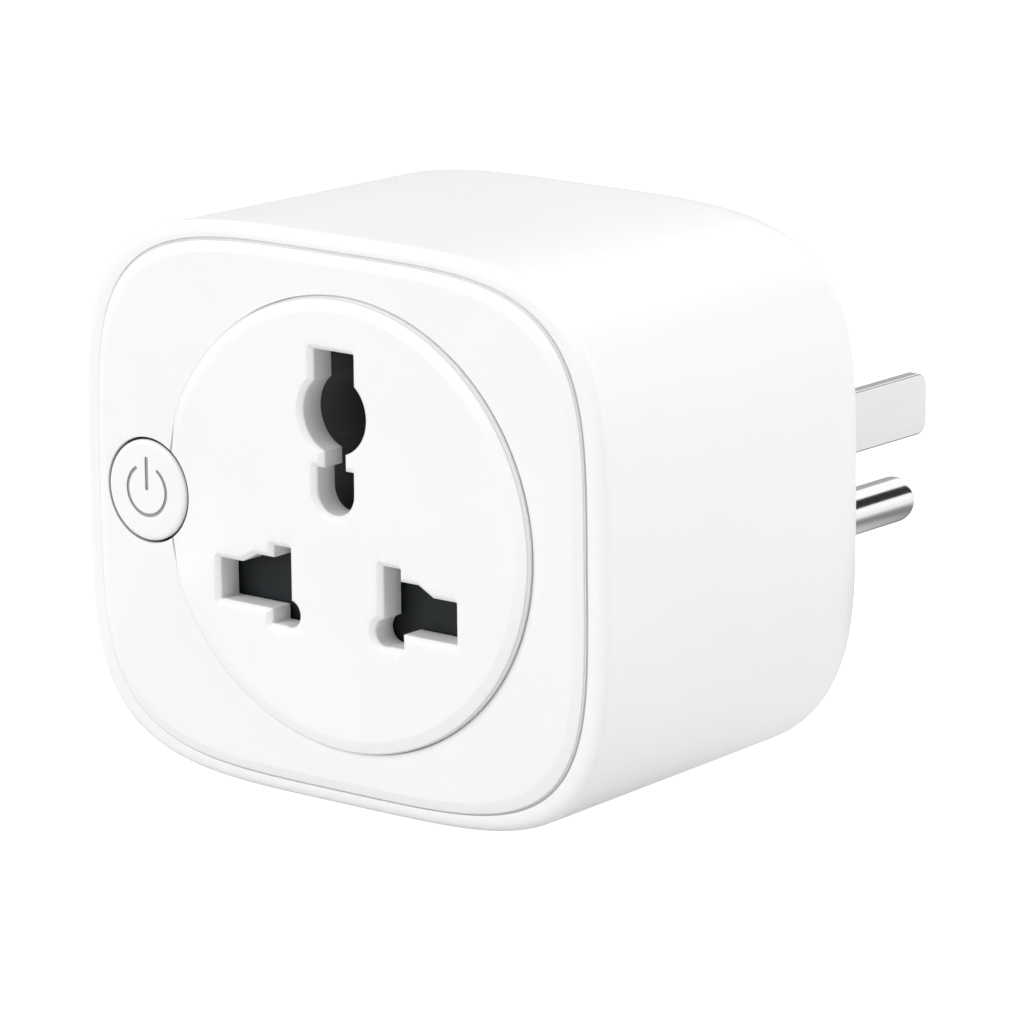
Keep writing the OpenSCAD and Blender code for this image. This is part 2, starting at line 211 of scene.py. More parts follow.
# equal steps along the body's outline
def superellipse_angles(m):
    t = np.linspace(0, 2 * np.pi, 8001)
    c, s = np.cos(t), np.sin(t)
    r = (np.abs(c) ** NEXP + np.abs(s) ** NEXP) ** (-1 / NEXP)
    x, z = A * c * r, B * s * r
    L = np.r_[0, np.cumsum(np.hypot(np.diff(x), np.diff(z)))]
    turn = np.abs(np.diff(np.unwrap(np.arctan2(np.diff(z), np.diff(x)))))
    L = L / L[-1] + 0.6 * np.r_[0, 0, np.cumsum(turn)] / turn.sum()
    return np.interp(np.arange(m) / m * L[-1], L, t)


THETA = superellipse_angles(320)


def se_ring(a, b, n=NEXP):
    c, s = np.cos(THETA), np.sin(THETA)
    r = (np.abs(c) ** n + np.abs(s) ** n) ** (-1 / n)
    return np.c_[a * c * r, b * s * r]


def inside(P, loop):
    P = np.atleast_2d(P)
    x, y = P[:, 0], P[:, 1]
    hit = np.zeros(len(P), bool)
    for (x1, y1), (x2, y2) in zip(loop, np.roll(loop, -1, 0)):
        if y1 == y2:
            continue
        c = (y1 > y) != (y2 > y)
        hit ^= c & (x < (x2 - x1) * (y - y1) / (y2 - y1) + x1)
    return hit


def near(P, loop):
    a, b = loop, np.roll(loop, -1, 0)
    d = b - a
    t = np.clip(((P[:, None] - a) * d).sum(2) / ((d ** 2).sum(1) + 1e-12), 0, 1)
    return np.sqrt((((a + t[..., None] * d) - P[:, None]) ** 2).sum(2)).min(1)


# ------------------------------------------------------------ mesh builder
class Shell:
    def __init__(self, place=None):
        self.v, self.f, self.m = [], [], []
        self.place = place or (lambda u, v, w: xyz(u, w, v))

    def loop(self, pts, w):
        i = len(self.v)
        w = np.broadcast_to(np.asarray(w, float), (len(pts),))
        self.v += [self.place(float(p[0]), float(p[1]), float(q)) for p, q in zip(pts, w)]
        return list(range(i, len(self.v)))

    def strip(self, a, b, mat=0, closed=True):
        n = len(a)
        for i in range(n if closed else n - 1):
            j = (i + 1) % n
            self.f.append((a[i], a[j], b[j], b[i]))
            self.m.append(mat)

    def strips(self, loops, mat=0):
        for a, b in zip(loops, loops[1:]):
            self.strip(a, b, mat)

    def fill(self, loops, w, extra=None, mat=0, gap=0.3):
        """loops: [(index list, points)], the outer one first. w is the height of the extra points, a number or a function."""
        pts, idx, edges = [], [], []
        for ids, p in loops:
            k = len(pts)
            pts += [Vector((float(q[0]), float(q[1]))) for q in p]
            idx += list(ids)
            edges += [(k + i, k + (i + 1) % len(p)) for i in range(len(p))]
        if extra is not None:
            keep = inside(extra, loops[0][1])
            for _, p in loops[1:]:
                keep &= ~inside(extra, p)
            extra = extra[keep]
            d = np.full(len(extra), 1e9)
            for _, p in loops:
                d = np.minimum(d, near(extra, p))
            extra = extra[d > gap]
            idx += self.loop(extra, w(extra[:, 0], extra[:, 1]) if callable(w) else w)
            pts += [Vector((float(q[0]), float(q[1]))) for q in extra]
        vo, _, fo, ov, _, _ = delaunay_2d_cdt(pts, edges, [], 0, 1e-6)
        c = np.array([np.mean([tuple(vo[i]) for i in f], 0) for f in fo])
        keep = inside(c, loops[0][1])
        for _, p in loops[1:]:
            keep &= ~inside(c, p)
        back = [idx[o[0]] for o in ov]
        for f, k in zip(fo, keep):
            if k:
                self.f.append(tuple(back[i] for i in f))
                self.m.append(mat)

    def mesh(self, name):
        me = bpy.data.meshes.new(name)
        me.from_pydata(self.v, [], self.f)
        me.polygons.foreach_set("material_index", self.m)
        bm = bmesh.new()
        bm.from_mesh(me)
        bmesh.ops.remove_doubles(bm, verts=bm.verts, dist=2e-7)
        bmesh.ops.recalc_face_normals(bm, faces=bm.faces)
        bm.to_mesh(me)
        bm.free()
        return me


def arc_steps(n):
    return [math.pi / 2 * i / n for i in range(n + 1)]


def edge_round(sh, prims, w, e, into, side=1, n=5, mat=0, step=0.3, turn=5.0):
    """Rounded edge of radius e: from the flat at w, off the outline by e on the side of the material, to the outline at w + into * e."""
    base = sample(prims, side * e, step, turn)
    ids, pts = [], []
    for a in arc_steps(n):
        p = sample(prims, side * e * (1 - math.sin(a)), step, turn)
        h = w(p[:, 0], p[:, 1]) if callable(w) else w
        pts.append(p)
        ids.append(sh.loop(p, h + into * e * (1 - math.cos(a))))
    sh.strips(ids, mat)
    return ids, pts


def profile_edge(sh, prims, prof, step=0.3, turn=5.0, mat=0):
    """Sweep a profile of (distance outwards from the outline, height) along the outline."""
    ids, pts = [], []
    for off, h in prof:
        p = sample(prims, off, step, turn)
        pts.append(p)
        ids.append(sh.loop(p, h(p[:, 0], p[:, 1]) if callable(h) else h))
    sh.strips(ids, mat)
    return ids, pts


def smooth(t):
    t = np.clip(t, 0, 1)
    return t * t * (3 - 2 * t)


def face_place(u, v, w):
    """The round face is a little wider than it is tall: the parts round its edge are eased to that outline."""
    dx, dz = u - FX, v - FZ
    r = max(1e-9, math.hypot(dx, dz))
    k = smooth((r - 18.3) / 3.0) * (1 - smooth((r - 23.6) / 2.3)) * smooth((math.hypot(u - BX, v - BZ) - 5.6) / 4.0)
    return xyz(u + k * (0.2 + 0.4 * dx / r), w, v + k * (0.1 - 0.4 * dz / r))


def grid(x0, x1, z0, z1, s):
    out, j, z = [], 0, z0
    while z <= z1:
        out += [(x + (s / 2 if j % 2 else 0), z) for x in np.arange(x0, x1, s)]
        z += s * 0.866
        j += 1
    return np.array(out)


def revolve(sh, cx, cz, prof, n=128, caps=(True, True), mats=None):
    """prof: (radius, y) from one end to the other; the ends close on the axis."""
    t = np.arange(n) * 2 * np.pi / n
    ids = []
    for r, y in prof:
        ids.append(sh.loop(np.c_[cx + r * np.cos(t), cz + r * np.sin(t)], y) if r > 1e-6 else None)
    for k, (a, b) in enumerate(zip(ids, ids[1:])):
        m = mats[k] if mats else 0
        if a is None or b is None:
            y = prof[k][1] if a is None else prof[k + 1][1]
            c = sh.loop(np.array([(cx, cz)]), y)[0]
            r = b if a is None else a
            for i in range(n):
                sh.f.append((r[i], r[(i + 1) % n], c))
                sh.m.append(m)
        else:
            sh.strip(a, b, m)


# ---------------------------------------------------------------- materials
def node_mat(name):
    m = bpy.data.materials.new(name)
    m.use_nodes = True
    return m, m.node_tree, m.node_tree.nodes["Principled BSDF"]


def nd(t, kind, **kw):
    n = t.nodes.new(kind)
    for k, v in kw.items():
        if k in n.inputs.keys():
            n.inputs[k].default_value = v
        else:
            setattr(n, k, v)
    return n


def coords(t, scale=(1, 1, 1)):
    tc = nd(t, "ShaderNodeTexCoord")
    mp = nd(t, "ShaderNodeMapping")
    mp.inputs["Scale"].default_value = scale
    t.links.new(tc.outputs["Object"], mp.inputs["Vector"])
    return mp.outputs["Vector"]


def noise(t, vec, scale, detail=2.0, rough=0.5, distort=0.0):
    n = nd(t, "ShaderNodeTexNoise")
    n.inputs["Scale"].default_value = scale
    n.inputs["Detail"].default_value = detail
    n.inputs["Roughness"].default_value = rough
    n.inputs["Distortion"].default_value = distort
    t.links.new(vec, n.inputs["Vector"])
    return n.outputs["Fac"]


def remap(t, fac, lo, hi, flo=0.3, fhi=0.7):
    n = nd(t, "ShaderNodeMapRange")
    for k, v in (("From Min", flo), ("From Max", fhi), ("To Min", lo), ("To Max", hi)):
        n.inputs[k].default_value = v
    t.links.new(fac, n.inputs["Value"])
    return n.outputs["Result"]


def ramp(t, fac, stops):
    n = nd(t, "ShaderNodeValToRGB")
    e = n.color_ramp.elements
    while len(e) < len(stops):
        e.new(0.5)
    for el, (p, c) in zip(e, stops):
        el.position = p
        el.color = (*c, 1)
    t.links.new(fac, n.inputs["Fac"])
    return n.outputs["Color"]


def bump(t, p, height, strength, dist, prev=None):
    n = nd(t, "ShaderNodeBump")
    n.inputs["Strength"].default_value = strength
    n.inputs["Distance"].default_value = dist
    t.links.new(height, n.inputs["Height"])
    if prev is not None:
        t.links.new(prev, n.inputs["Normal"])
    t.links.new(n.outputs["Normal"], p.inputs["Normal"])
    return n.outputs["Normal"]


def moulded(name, col, rough, spread=0.012, grain=0.035, spec=0.5, coat=0.0):
    """Moulded plastic: faint clouding in the colour, a sparked mould texture, and small changes of gloss."""
    m, t, p = node_mat(name)
    v = coords(t)
    cloud = noise(t, v, 55, 3)
    lo = tuple(max(0, c * (1 - spread)) for c in col)
    hi = tuple(min(1, c * (1 + spread * 0.6)) for c in col)
    t.links.new(ramp(t, cloud, [(0.3, lo), (0.7, hi)]), p.inputs["Base Color"])
    t.links.new(remap(t, noise(t, v, 420, 3), rough * 0.92, rough * 1.1), p.inputs["Roughness"])
    n1 = bump(t, p, noise(t, v, 5200, 2), grain, 0.00003)
    bump(t, p, noise(t, v, 130, 2), grain * 0.5, 0.00008, n1)
    p.inputs["Specular IOR Level"].default_value = spec
    p.inputs["Coat Weight"].default_value = coat
    p.inputs["Coat Roughness"].default_value = 0.25
    return m


def metal(name, col, rough, spread=0.05, along=(1, 0.03, 1), line=0.08, scale=2600, wander=0.12):
    """Metal drawn or rolled along one direction, with faint lines and changes of gloss."""
    m, t, p = node_mat(name)
    v = coords(t, along)
    lines = noise(t, v, scale, 3, 0.6)
    lo = tuple(c * (1 - spread) for c in col)
    t.links.new(ramp(t, lines, [(0.35, lo), (0.65, col)]), p.inputs["Base Color"])
    t.links.new(remap(t, noise(t, coords(t), 260, 3), rough * (1 - wander), rough * (1 + wander)), p.inputs["Roughness"])
    bump(t, p, lines, line, 0.00002)
    p.inputs["Metallic"].default_value = 1.0
    return m


WHITE = (0.885, 0.888, 0.892)
M = {
    "shell": moulded("white_shell_satin", WHITE, 0.36, grain=0.03),
    "panel": moulded("white_panel_satin", WHITE, 0.40, grain=0.03),
    "disc": moulded("white_disc_satin", (0.89, 0.893, 0.896), 0.38, grain=0.025),
    "key": moulded("white_key_satin", (0.885, 0.888, 0.892), 0.36, grain=0.025),
    "dark": moulded("charcoal_moulding", (0.0135, 0.0162, 0.0185), 0.42, spread=0.12, grain=0.08, spec=0.18),
    "carrier": moulded("charcoal_carrier", (0.12, 0.13, 0.138), 0.45, spread=0.12, grain=0.08, spec=0.25),
    "band": moulded("band_pale_grey", (0.90, 0.905, 0.91), 0.45, spread=0.02, grain=0.03, spec=0.3),
    # grey for painted shade: the seam lines and gaps between the white parts are coloured darker instead of being
    # shaded
    "painted_seam_shade": moulded("seam_painted_shade", (0.66, 0.665, 0.67), 0.5, spread=0.04, grain=0.03, spec=0.3),
    "symbol": moulded("symbol_grey_fill", (0.33, 0.335, 0.34), 0.5, spread=0.05, grain=0.05, spec=0.3),
    "blade": metal("nickel_satin", (0.84, 0.84, 0.845), 0.30, spread=0.02, line=0.02, wander=0.06),
    "pin": metal("chrome_bright", (0.85, 0.855, 0.865), 0.16, spread=0.015, line=0.015),
}


def add_piece(name, me, mats, body, replaces=(), angle=32, weighted=True):
    for m in mats:
        me.materials.append(m)
    me.polygons.foreach_set("use_smooth", [True] * len(me.polygons))
    me.set_sharp_from_angle(angle=math.radians(angle))
    ob = bpy.data.objects.new(name, me)
    scene.collection.objects.link(ob)
    if weighted:
        w = ob.modifiers.new("even_normals", "WEIGHTED_NORMAL")
        w.keep_sharp = True
        w.weight = 60
    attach(ob, body)
    if replaces:
        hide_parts(*replaces)
    return ob


def evaluated(ob):
    dg = bpy.context.evaluated_depsgraph_get()
    return bpy.data.meshes.new_from_object(ob.evaluated_get(dg))


def helper(name, me):
    ob = bpy.data.objects.new(name, me)
    scene.collection.objects.link(ob)
    return ob


def cut(ob, tool):
    m = ob.modifiers.new("cut", "BOOLEAN")
    m.operation, m.solver, m.object = "DIFFERENCE", "EXACT", tool
    bpy.context.view_layer.update()
    me = evaluated(ob)
    for o in (ob, tool):
        bpy.data.objects.remove(o)
    return me


# ------------------------------------------------------------------ casing
def back_height(x, z, a, b, r, y1):
    """Height of the soft-edged back over a point: inside the ring of each fillet angle."""
    x, z = np.abs(np.atleast_1d(x)), np.abs(np.atleast_1d(z))
    lo, hi = np.zeros(len(x)), np.full(len(x), r)
    for _ in range(48):
        w = (lo + hi) / 2
        f = (x / (a - w)) ** NEXP + (z / (b - w)) ** NEXP
        out = f > 1
        hi = np.where(out, w, hi)
        lo = np.where(out, lo, w)
    w = (lo + hi) / 2
    return y1 - r * (1 - np.sqrt(np.clip(1 - (1 - w / r) ** 2, 0, 1)))


def housing():
    a2, b2 = A * TAPER, B * TAPER
    H = lambda x, z: back_height(x, z, a2, b2, BACK_R, D)
    sh = Shell()
    rings = []
    add = lambda a, b, y, n=NEXP: rings.append((sh.loop(se_ring(a, b, n), y), se_ring(a, b, n)))
    add(PA, PB, 3.0, PN)
    add(PA, PB, 1.2, PN)
    e = 0.12
    for t in arc_steps(4):
        add(PA + e * (1 - math.cos(t)), PB + e * (1 - math.cos(t)), e * (1 - math.sin(t)), PN)
    for t in reversed(arc_steps(8)):
        add(A - FRONT_R * (1 - math.cos(t)), B - FRONT_R * (1 - math.cos(t)), FRONT_R * (1 - math.sin(t)))
    y1 = D - BACK_R
    for k in range(1, 11):
        s = k / 10
        add(A + (a2 - A) * s, B + (b2 - B) * s, FRONT_R + (y1 - FRONT_R) * s)
    t0 = 30
    for t in range(5, t0 + 1, 5):
        w = BACK_R * (1 - math.cos(math.radians(t)))
        add(a2 - w, b2 - w, D - BACK_R * (1 - math.sin(math.radians(t))))
    sh.strips([r[0] for r in rings])
    sh.fill([rings[0]], 3.0)
    extra = []
    for t in np.arange(t0 + 5, 91, 5):
        w = BACK_R * (1 - math.cos(math.radians(t)))
        extra.append(se_ring(a2 - w, b2 - w)[:: 1 if t < 75 else 2])
    g = grid(-21, 21, -16.5, 16.5, 1.6)
    w = BACK_R + 0.5
    g = g[inside(g, se_ring(a2 - w, b2 - w))]
    extra = np.vstack(extra + [g])
    holes = []
    for x, z in POSTS:
        c = circle_line(x, z, 3.0)
        ids, pts = edge_round(sh, c, H, 0.35, -1, 1, 6, step=0.3)
        holes.append((ids[0], pts[0]))
        a = sh.loop(pts[-1], 16.5)
        sh.strip(ids[-1], a)
        q = sample(c, -1.3, 0.3)
        b, c2 = sh.loop(q, 16.5), sh.loop(q, 14.0)
        sh.strip(a, b)
        sh.strip(b, c2)
        sh.fill([(c2, q)], 14.0)
    ins = rounded_rect(PX - 8.9, PX + 8.9, EZ - 4.6, EZ + 17.2, 4.1)
    ids, pts = edge_round(sh, ins, H, 0.22, -1, 1, 4, step=0.5, turn=6)
    holes.append((ids[0], pts[0]))
    a = sh.loop(pts[-1], 44.0)
    sh.strip(ids[-1], a)
    sh.fill([(a, pts[-1])], 44.0, grid(5, 30, -15, 12, 2))
    sh.fill([rings[-1]] + holes, H, extra)
    outer = helper("outer", sh.mesh("outer"))

    # the hollow, with the screw posts standing in it
    cv = Shell()
    ai, bi, ri, yi = a2 - WALL, b2 - WALL, BACK_R - WALL, D - 2.4
    loops = [(PA - 0.3, PB - 0.3, PN, 2.0), (PA - 0.3, PB - 0.3, PN, 4.0)]
    loops += [(ai - ri * (1 - math.cos(math.radians(t))), bi - ri * (1 - math.cos(math.radians(t))), NEXP,
               yi - ri * (1 - math.sin(math.radians(t)))) for t in range(0, 91, 10)]
    L = [(cv.loop(se_ring(a, b, n)[::4], y), se_ring(a, b, n)[::4]) for a, b, n, y in loops]
    cv.strips([q[0] for q in L])
    cv.fill([L[0]], 2.0)
    cv.fill([L[-1]], loops[-1][3])
    cav = helper("hollow", cv.mesh("hollow"))
    po = Shell()
    for x, z in POSTS:
        revolve(po, x, z, [(0, 14.5), (4.4, 14.5), (4.4, 50), (0, 50)], 48)
    cavity = helper("hollow2", cut(cav, helper("posts", po.mesh("posts"))))
    me = cut(outer, cavity)
    me.name = "housing_shell"
    return add_piece("housing_shell", me, [M["shell"]], "body", ["main_housing"], angle=34)


# -------------------------------------------------------------- front parts
def front_hole(r1, r2):
    """Outline of the round face's hole joined to the button's hole."""
    c0, c1 = np.array((FX, FZ)), np.array((BX, BZ))
    d = np.linalg.norm(c1 - c0)
    u = (c1 - c0) / d
    x = (d * d + r1 * r1 - r2 * r2) / (2 * d)
    y = math.sqrt(r1 * r1 - x * x)
    w = np.array((-u[1], u[0]))
    hi, lo = c0 + x * u - y * w, c0 + x * u + y * w
    if hi[1] < lo[1]:
        hi, lo = lo, hi
    deg = lambda c, p: math.degrees(math.atan2(p[1] - c[1], p[0] - c[0])) % 360
    return c0, c1, hi, lo, deg


def front_panel():
    g = 0.15
    c0, c1, hi, lo, deg = front_hole(FR + g, BR + RING)
    big = ("arc", *c0, FR + g, deg(c0, lo) - 360, deg(c0, hi))
    small = ("arc", *c1, BR + RING, deg(c1, hi), deg(c1, lo))
    hole = outline([big, small])
    sh = Shell(face_place)
    pa, pb = PA - GAP, PB - GAP
    out = -(GAP - 0.012)
    # from the flat, down the bevel, and over the short side wall to the foot that closes the seam
    prof = [(1.2, PF), (1.12, PF + 0.004), (1.02, PF + 0.025), (0.55, PF + 0.205), (0.10, PF + 0.375), (0.05, PF + 0.398), (0.012, PF + 0.435),
            (0, PF + 0.475), (0, 0.02), (0.0, 0.08), (out, 0.15), (out, 1.7), (0.4, 1.7), (0.4, 6.0), (1.3, 6.0), (1.3, 1.7)]
    rings = [se_ring(pa - i, pb - i, PN) for i, _ in prof]
    ids = [sh.loop(q, y) for q, (_, y) in zip(rings, prof)]
    sh.strips(ids[:5])
    # the bevel's last rounding and the foot are in seam grey, painted shade of the seam; the side wall between is the
    # near-white band
    sh.strips(ids[4:8], 1)
    sh.strips(ids[7:9], 2)
    sh.strips(ids[8:12], 1)
    sh.strips(ids[11:])
    hi_ids, hi_pts = edge_round(sh, hole, PF, 0.09, 1, 1, 4, step=0.35, turn=2)
    wall = sh.loop(hi_pts[-1], 1.7)
    # the wall of the hole is in seam grey: painted shade of the gap round the disc
    sh.strip(hi_ids[-1], wall, 1)
    sh.fill([(ids[0], rings[0]), (hi_ids[0], hi_pts[0])], PF, grid(-31, 31, -27, 27, 1.8))
    sh.fill([(ids[-1], rings[-1]), (wall, hi_pts[-1])], 1.7)
    return add_piece("front_bezel", sh.mesh("front_bezel"), [M["panel"], M["painted_seam_shade"], M["band"]], "body", ["front_panel"])


EARTH = [(-2.55, 17.15, 0.12), ("arc", 0, 10.9, 4.0, 180 - 50.395, 180 + 70.277), (-1.35, 5.5), (-2.35, 5.5, 0.12),
         ("arc", 0, 3.25, 2.35, 180, 360), (2.35, 5.5, 0.12), (1.35, 5.5), ("arc", 0, 10.9, 4.0, -70.277, 50.395), (2.55, 17.15, 0.12)]
POLE = [(5.9, -3.15, 0.12), ("arc", 6.2, -9.8, 1.4, 102.375, 291.8), (8.4, -11.1, 0.12), (8.4, -9.6), (15.1, -9.6, 0.12),
        (15.1, -5.4, 0.12), (12.2, -5.4), (10.3, -4.4, 0.12), (8.1, -4.4), (8.1, -3.15, 0.12)]
# bevelled lip of an opening, down to the straight wall
LIP = [(0.50, DF), (0.487, DF + 0.006), (0.475, DF + 0.03), (0.462, DF + 0.05), (0.43, DF + 0.058), (0.40, DF + 0.072), (0.05, DF + 0.375),
       (0.015, DF + 0.41), (0.0, DF + 0.44), (0.03, DF + 0.47), (0.03, DF + 0.51), (0.0, DF + 0.54)]


def disc_height(x, z):
    r = np.hypot(x - FX, z - FZ)
    y = np.interp(r, [0, 21.45, 21.55, 21.65, 22.62, 22.72, 22.80, 22.85],
                  [DF, DF, DF + 0.006, DF + 0.025, DF + 0.325, DF + 0.362, DF + 0.41, DF + 0.48])
    s = 1 - smooth((np.hypot(x - BX, z - BZ) - 5.5) / 6.3)
    return y * (1 - s) + (PF - 0.03) * s


def disc_arcs(ro, rs, n1=260, n2=44):
    """The disc's outline at one level: its circle of radius ro, then the bite of radius rs round the button."""
    c0, c1, hi, lo, deg = front_hole(ro, rs)
    a0, a1 = deg(c0, lo) - 360, deg(c0, hi)
    b0, b1 = deg(c1, hi), deg(c1, lo)
    b0, b1 = (b - 360 if b > 180 else b for b in (b0, b1))
    outer = np.array([rad2(c0, ro, math.radians(a0 + (a1 - a0) * k / n1)) for k in range(n1 + 1)])
    bite = np.array([rad2(c1, rs, math.radians(b0 + (b1 - b0) * k / n2)) for k in range(n2 + 1)])
    return outer, bite


def socket_disc():
    sh = Shell(face_place)
    e, ne, rs = 0.16, 4, BR + RING
    outer, b0 = disc_arcs(FR - 0.14, rs + e)
    front = np.vstack([outer, b0[1:-1]])
    f_ids = sh.loop(front, disc_height(front[:, 0], front[:, 1]))
    n1 = len(outer) - 1
    bites, b_pts, b_y = [f_ids[n1:] + [f_ids[0]]], [b0], [disc_height(b0[:, 0], b0[:, 1])]
    for a in arc_steps(ne)[1:]:
        _, b = disc_arcs(FR - 0.14, rs + e * (1 - math.sin(a)))
        b_pts.append(b)
        b_y.append(disc_height(b[:, 0], b[:, 1]) + e * (1 - math.cos(a)))
        bites.append(sh.loop(b, b_y[-1]))
    for a, b in zip(bites, bites[1:]):
        sh.strip(a, b, closed=False)
    # the side wall follows the edge, with the bite's rounding at both corners
    top = f_ids[: n1 + 1] + [b[0] for b in bites[1:]] + bites[-1][1:-1] + [b[-1] for b in reversed(bites[1:])]
    tp = np.vstack([outer] + [b[:1] for b in b_pts[1:]] + [b_pts[-1][1:-1]] + [b[-1:] for b in reversed(b_pts[1:])])
    ty = np.concatenate([disc_height(outer[:, 0], outer[:, 1])] + [b[:1] for b in b_y[1:]] + [b_y[-1][1:-1]] + [b[-1:] for b in reversed(b_y[1:])])
    # a thin seam-grey strip at the top of the side wall, painted shade of the edge line, then the side wall
    d = tp - np.array([FX, FZ])
    far_out = np.hypot(d[:, 0], d[:, 1])
    tq = np.array([FX, FZ]) + d * np.where(far_out > FR - 0.2, FR / far_out, 1.0)[:, None]
    edge = sh.loop(tq, ty + 0.09)
    sh.strip(top, edge, 1)
    low = sh.loop(tq, PF + 0.2)
    sh.strip(edge, low, 2)
    last = low
    # the foot below the side wall is in seam grey: painted shade of the gap round the disc
    for ro, r2, y in ((FR + 0.13, rs, PF + 0.24), (FR + 0.13, rs, 1.75), (FR + 0.9, BR + 1.2, 1.75), (FR + 0.9, BR + 1.2, 3.0),
                      (21.5, BR + 1.7, 3.0), (21.5, BR + 1.7, 1.55)):
        o, b = disc_arcs(ro, r2)
        q = np.vstack([o] + [b[:1]] * ne + [b[1:-1]] + [b[-1:]] * ne)
        ids = sh.loop(q, y)
        sh.strip(last, ids, 1 if y < 1.7 and ro > FR else 0)
        last = ids
    holes_f, holes_b = [], []
    for items in (EARTH, POLE, mirrored(POLE)):
        pr = outline(shifted(items, OX, OZ))
        ids, pts = profile_edge(sh, pr, LIP)
        wall = [sh.loop(pts[-1], y) for y in (-0.6, 0.4, 1.32)]
        sh.strips([ids[-1]] + wall)
        sh.strip(wall[-1], sh.loop(sample(pr, 0.03, 0.3, 5), 1.42))
        m_ids = list(range(len(sh.v) - len(pts[-1]), len(sh.v)))
        ch = sample(pr, 0.14, 0.3, 5)
        c_ids = sh.loop(ch, 1.55)
        n_ids = sh.loop(sample(pr, 0.1, 0.3, 5), 1.46)
        sh.strip(m_ids, n_ids)
        sh.strip(n_ids, c_ids)
        holes_f.append((ids[0], pts[0]))
        holes_b.append((c_ids, ch))
    t = np.arange(300) * 2 * np.pi / 300
    rings = [np.c_[FX + r * np.cos(t), FZ + r * np.sin(t)]
             for r in (20.6, 21.35, 21.45, 21.55, 21.65, 21.9, 22.25, 22.45, 22.56, 22.64)]
    far = lambda q: np.hypot(q[:, 0] - BX, q[:, 1] - BZ) > 12.3
    g, g2 = grid(-22, 24, -22, 22, 1.5), grid(-22, -9, -13, 13, 0.65)
    g = np.vstack([g[far(g)], g2[~far(g2)]])
    g = g[np.hypot(g[:, 0] - FX, g[:, 1] - FZ) < 20.2]
    sh.fill([(f_ids, front)] + holes_f, disc_height, np.vstack(rings + [g]), gap=0.045)
    ob_, bb_ = disc_arcs(21.5, BR + 1.7)
    q = np.vstack([ob_] + [bb_[:1]] * ne + [bb_[1:-1]] + [bb_[-1:]] * ne)
    uniq = [i for i in range(len(q)) if np.linalg.norm(q[i] - q[i - 1]) > 1e-6]
    sh.fill([([last[i] for i in uniq], q[uniq])] + holes_b, 1.55)
    return add_piece("socket_disc", sh.mesh("socket_disc"), [M["disc"], M["painted_seam_shade"], M["band"]], "body", ["socket_face"])


def power_key():
    sh = Shell()
    prof = [(4.5, KF), (4.62, KF + 0.006), (4.74, KF + 0.028), (4.85, KF + 0.066), (4.95, KF + 0.125), (5.03, KF + 0.205), (5.08, KF + 0.30), (BR, KF + 0.40),
            (BR, 1.95), (5.85, 1.95), (5.85, 2.75), (1.7, 2.75), (1.7, 3.2)]
    t = np.arange(144) * 2 * np.pi / 144
    ring = lambda r: np.c_[BX + r * np.cos(t), BZ + r * np.sin(t)]
    ids = [sh.loop(ring(r), y) for r, y in prof]
    sh.strips(ids[:8])
    # the button's side wall is in the dark carrier moulding: painted shade of the ring gap round the button
    sh.strips(ids[7:11], 2)
    sh.strips(ids[10:])
    sh.fill([(ids[-1], ring(1.7))], 3.2)
    g0, g1, w = 125, 415, 0.17
    cap = lambda a: (BX + 2.53 * math.cos(math.radians(a)), BZ + 2.53 * math.sin(math.radians(a)))
    loop = outline([("arc", BX, BZ, 2.53 + w, g0, g1), ("arc", *cap(g1), w, g1 - 360, g1 - 180),
                    ("arc", BX, BZ, 2.53 - w, g1, g0), ("arc", *cap(g0), w, g0 + 180, g0 + 360)])
    bar = outline([("arc", BX, BZ + 0.2, 0.2, 180, 360), ("arc", BX, BZ + 3.2, 0.2, 0, 180)])
    holes = []
    for pr in (loop, bar):
        a, p = edge_round(sh, pr, KF, 0.04, 1, 1, 3, step=0.12, turn=4)
        low = sh.loop(p[-1], KF + 0.12)
        sh.strip(a[-1], low, 1)
        sh.fill([(low, p[-1])], KF + 0.12, mat=1)
        holes.append((a[0], p[0]))
    sh.fill([(ids[0], ring(4.5))] + holes, KF, grid(BX - 5, BX + 5, BZ - 5, BZ + 5, 0.5), gap=0.15)
    return add_piece("power_key", sh.mesh("power_key"), [M["key"], M["symbol"], M["carrier"]], "power_button", ["power_button"])


# --------------------------------------------------------------------- plug
BZ0 = EZ + 11.9


def side_place(u, v, w):
    return xyz(w, u, v)


def plate(sh, pr, w0, w1, e, step=0.5, turn=6, n=5):
    a, pa_ = edge_round(sh, pr, w0, e, 1, -1, n, step=step, turn=turn)
    b, pb_ = edge_round(sh, pr, w1, e, -1, -1, n, step=step, turn=turn)
    sh.strip(a[-1], b[-1])
    sh.fill([(a[0], pa_[0])], w0)
    sh.fill([(b[0], pb_[0])], w1)


def blade(name, x, node):
    sh = Shell(side_place)
    z0, z1, y1 = BZ0 - 3.175, BZ0 + 3.175, D + 16.1
    plate(sh, outline([(38.0, z0), (y1, z0, 1.4), (y1, z1, 1.4), (38.0, z1)]), x - 0.75, x + 0.75, 0.24)
    plate(sh, outline([(25.7, BZ0 - 1.1), (38.2, BZ0 - 1.1), (38.2, BZ0 + 1.4), (25.7, BZ0 + 1.4)]), x - 0.5, x + 0.5, 0.1, n=2)
    return add_piece(name, sh.mesh(name), [M["blade"]], "body", [node])


def earth_prong():
    sh = Shell()
    y1, e = D + 22.0, 2.2
    prof = [(0, 33), (1.1, 33), (1.2, 33.1), (1.2, 38), (2.0, 38), (2.0, D), (2.32, D), (2.4, D + 0.08)]
    prof += [(2.4, D + s) for s in (4, 9, 14, 18)]
    prof += [(2.4 - e * (1 - math.cos(t)), y1 - e * (1 - math.sin(t))) for t in arc_steps(18)]
    prof += [(0, y1)]
    revolve(sh, PX, EZ, prof, 160)
    return add_piece("earth_prong", sh.mesh("earth_prong"), [M["pin"]], "body", ["earth_pin"])


